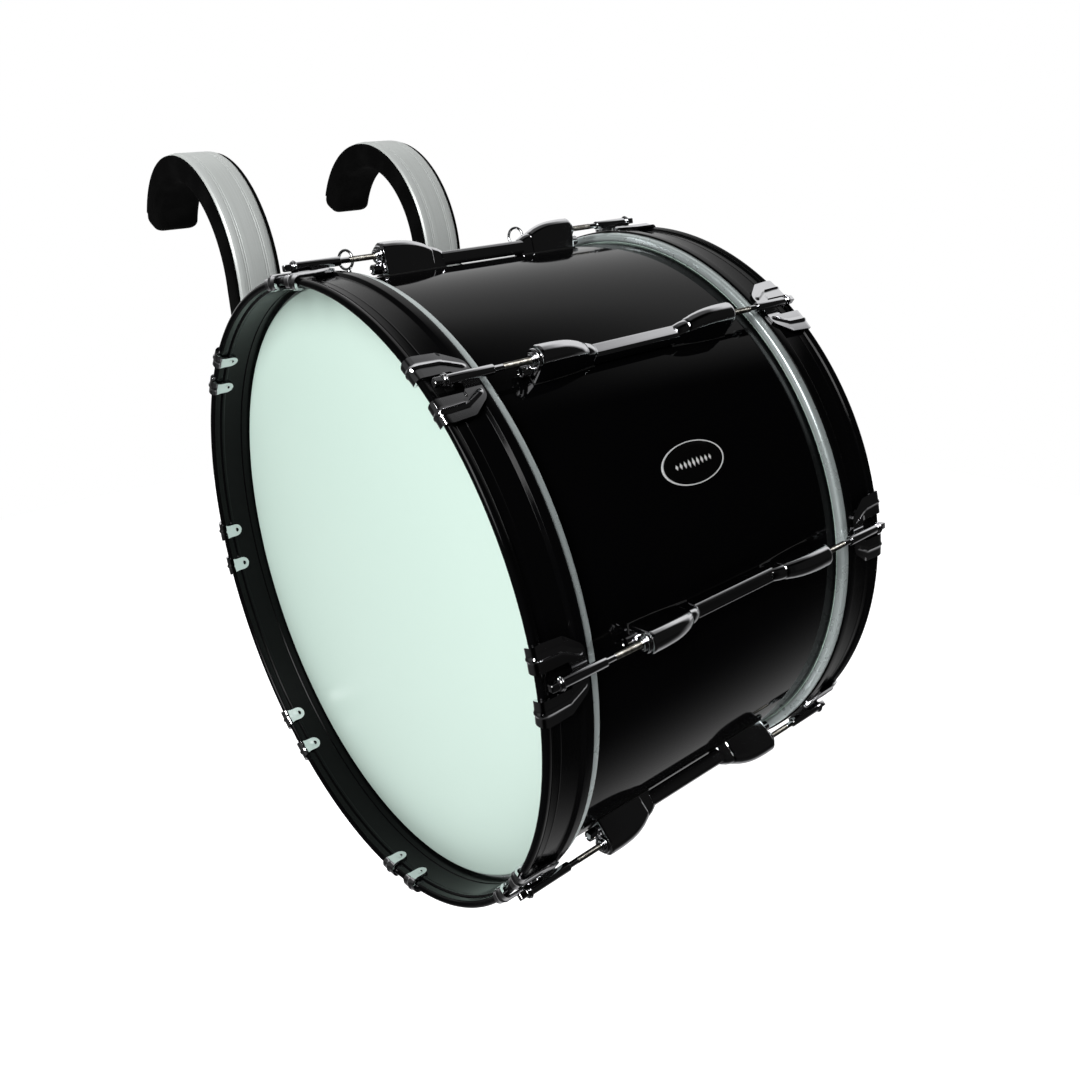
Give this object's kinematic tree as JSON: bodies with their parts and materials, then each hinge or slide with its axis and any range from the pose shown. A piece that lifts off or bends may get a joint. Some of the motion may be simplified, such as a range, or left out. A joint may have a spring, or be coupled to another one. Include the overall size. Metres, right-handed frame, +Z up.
{
  "type": "marching bass drum",
  "caption": "Two-headed marching bass drum with claw-tensioned hoops and full-length lugs, hung on a carrier with two padded shoulder bars and a belly plate.",
  "frame": {"origin": "midway between the two shoulder rests, at the underside of the pads at the top of their arches", "axes": "X along the drum axis, towards the wearer's left; +Y from the drum towards the wearer; +Z up as worn"},
  "size_m": [0.4452, 0.9313, 0.7242],
  "materials": {
    "black_shell": "high-gloss black lacquer over plywood",
    "head_film": "smooth white polyester film",
    "bare_aluminium": "satin bare aluminium",
    "black_hoop": "gloss black powder coat",
    "black_chrome": "black chrome plate",
    "black_rubber": "matt black rubber",
    "zinc_steel": "zinc-plated steel",
    "chrome_steel": "bright chrome",
    "badge_plate": "black enamel with a bright rim",
    "brushed_aluminium": "brushed along its length",
    "black_aluminium": "satin black anodised",
    "black_foam": "closed-cell foam"
  },
  "bodies": {
    "carrier": {"shoulder_bar_right": "brushed_aluminium", "shoulder_bar_left": "brushed_aluminium", "shoulder_pad_right": "black_foam", "shoulder_pad_left": "black_foam", "belly_plate": "brushed_aluminium", "belly_pad": "black_foam", "plate_spacers": "black_aluminium", "plate_bolts": "zinc_steel", "plate_nuts": "zinc_steel"},
    "drum": {"shell": "black_shell", "head_right": "head_film", "head_left": "head_film", "flesh_hoop_right": "bare_aluminium", "flesh_hoop_left": "bare_aluminium", "counterhoop_right": "black_hoop", "counterhoop_left": "black_hoop", "lug_1": "black_chrome", "lug_2": "black_chrome", "lug_3": "black_chrome", "lug_4": "black_chrome", "lug_5": "black_chrome", "lug_6": "black_chrome", "lug_7": "black_chrome", "lug_8": "black_chrome", "claws_right": "black_chrome", "claws_left": "black_chrome", "lug_gaskets": "black_rubber", "swivel_nuts": "black_chrome", "rod_washers": "black_chrome", "lug_screws": "zinc_steel", "lug_screw_washers": "zinc_steel", "badge": "badge_plate", "air_vent": "chrome_steel", "eyebolts": "chrome_steel", "eyebolt_nuts": "zinc_steel", "saddle_right": "black_aluminium", "saddle_left": "black_aluminium", "saddle_gaskets": "black_rubber", "backing_plates": "zinc_steel", "saddle_bolts": "zinc_steel"},
    "tension_rod_right_1": {"tension_rod_right_1": "black_chrome"},
    "tension_rod_right_2": {"tension_rod_right_2": "black_chrome"},
    "tension_rod_right_3": {"tension_rod_right_3": "black_chrome"},
    "tension_rod_right_4": {"tension_rod_right_4": "black_chrome"},
    "tension_rod_right_5": {"tension_rod_right_5": "black_chrome"},
    "tension_rod_right_6": {"tension_rod_right_6": "black_chrome"},
    "tension_rod_right_7": {"tension_rod_right_7": "black_chrome"},
    "tension_rod_right_8": {"tension_rod_right_8": "black_chrome"},
    "tension_rod_left_1": {"tension_rod_left_1": "black_chrome"},
    "tension_rod_left_2": {"tension_rod_left_2": "black_chrome"},
    "tension_rod_left_3": {"tension_rod_left_3": "black_chrome"},
    "tension_rod_left_4": {"tension_rod_left_4": "black_chrome"},
    "tension_rod_left_5": {"tension_rod_left_5": "black_chrome"},
    "tension_rod_left_6": {"tension_rod_left_6": "black_chrome"},
    "tension_rod_left_7": {"tension_rod_left_7": "black_chrome"},
    "tension_rod_left_8": {"tension_rod_left_8": "black_chrome"},
    "clamp_screw_right": {"clamp_screw_right": "chrome_steel"},
    "clamp_screw_left": {"clamp_screw_left": "chrome_steel"}
  },
  "joints": [
    {"name": "drum_height", "type": "slide", "parent": "carrier", "child": "drum", "axis": [0, 0, 1], "range_m": [-0.02, 0.02]},
    {"name": "tension_rod_right_1_turn", "type": "hinge", "parent": "drum", "child": "tension_rod_right_1", "pos_m": [-0.15, -0.65213, -0.09219], "axis": [-1, 0, 0], "range_deg": [-180, 180]},
    {"name": "tension_rod_right_2_turn", "type": "hinge", "parent": "drum", "child": "tension_rod_right_2", "pos_m": [-0.15, -0.78557, -0.30165], "axis": [-1, 0, 0], "range_deg": [-180, 180]},
    {"name": "tension_rod_right_3_turn", "type": "hinge", "parent": "drum", "child": "tension_rod_right_3", "pos_m": [-0.15, -0.73181, -0.54413], "axis": [-1, 0, 0], "range_deg": [-180, 180]},
    {"name": "tension_rod_right_4_turn", "type": "hinge", "parent": "drum", "child": "tension_rod_right_4", "pos_m": [-0.15, -0.52235, -0.67757], "axis": [-1, 0, 0], "range_deg": [-180, 180]},
    {"name": "tension_rod_right_5_turn", "type": "hinge", "parent": "drum", "child": "tension_rod_right_5", "pos_m": [-0.15, -0.27987, -0.62382], "axis": [-1, 0, 0], "range_deg": [-180, 180]},
    {"name": "tension_rod_right_6_turn", "type": "hinge", "parent": "drum", "child": "tension_rod_right_6", "pos_m": [-0.15, -0.14643, -0.41435], "axis": [-1, 0, 0], "range_deg": [-180, 180]},
    {"name": "tension_rod_right_7_turn", "type": "hinge", "parent": "drum", "child": "tension_rod_right_7", "pos_m": [-0.15, -0.20019, -0.17187], "axis": [-1, 0, 0], "range_deg": [-180, 180]},
    {"name": "tension_rod_right_8_turn", "type": "hinge", "parent": "drum", "child": "tension_rod_right_8", "pos_m": [-0.15, -0.40965, -0.03843], "axis": [-1, 0, 0], "range_deg": [-180, 180]},
    {"name": "tension_rod_left_1_turn", "type": "hinge", "parent": "drum", "child": "tension_rod_left_1", "pos_m": [0.15, -0.65213, -0.09219], "axis": [1, 0, 0], "range_deg": [-180, 180]},
    {"name": "tension_rod_left_2_turn", "type": "hinge", "parent": "drum", "child": "tension_rod_left_2", "pos_m": [0.15, -0.78557, -0.30165], "axis": [1, 0, 0], "range_deg": [-180, 180]},
    {"name": "tension_rod_left_3_turn", "type": "hinge", "parent": "drum", "child": "tension_rod_left_3", "pos_m": [0.15, -0.73181, -0.54413], "axis": [1, 0, 0], "range_deg": [-180, 180]},
    {"name": "tension_rod_left_4_turn", "type": "hinge", "parent": "drum", "child": "tension_rod_left_4", "pos_m": [0.15, -0.52235, -0.67757], "axis": [1, 0, 0], "range_deg": [-180, 180]},
    {"name": "tension_rod_left_5_turn", "type": "hinge", "parent": "drum", "child": "tension_rod_left_5", "pos_m": [0.15, -0.27987, -0.62382], "axis": [1, 0, 0], "range_deg": [-180, 180]},
    {"name": "tension_rod_left_6_turn", "type": "hinge", "parent": "drum", "child": "tension_rod_left_6", "pos_m": [0.15, -0.14643, -0.41435], "axis": [1, 0, 0], "range_deg": [-180, 180]},
    {"name": "tension_rod_left_7_turn", "type": "hinge", "parent": "drum", "child": "tension_rod_left_7", "pos_m": [0.15, -0.20019, -0.17187], "axis": [1, 0, 0], "range_deg": [-180, 180]},
    {"name": "tension_rod_left_8_turn", "type": "hinge", "parent": "drum", "child": "tension_rod_left_8", "pos_m": [0.15, -0.40965, -0.03843], "axis": [1, 0, 0], "range_deg": [-180, 180]},
    {"name": "clamp_screw_right_turn", "type": "hinge", "parent": "drum", "child": "clamp_screw_right", "pos_m": [-0.16, -0.1375, -0.292], "axis": [-1, 0, 0], "range_deg": [-180, 180]},
    {"name": "clamp_screw_left_turn", "type": "hinge", "parent": "drum", "child": "clamp_screw_left", "pos_m": [0.16, -0.1375, -0.292], "axis": [1, 0, 0], "range_deg": [-180, 180]}
  ]
}
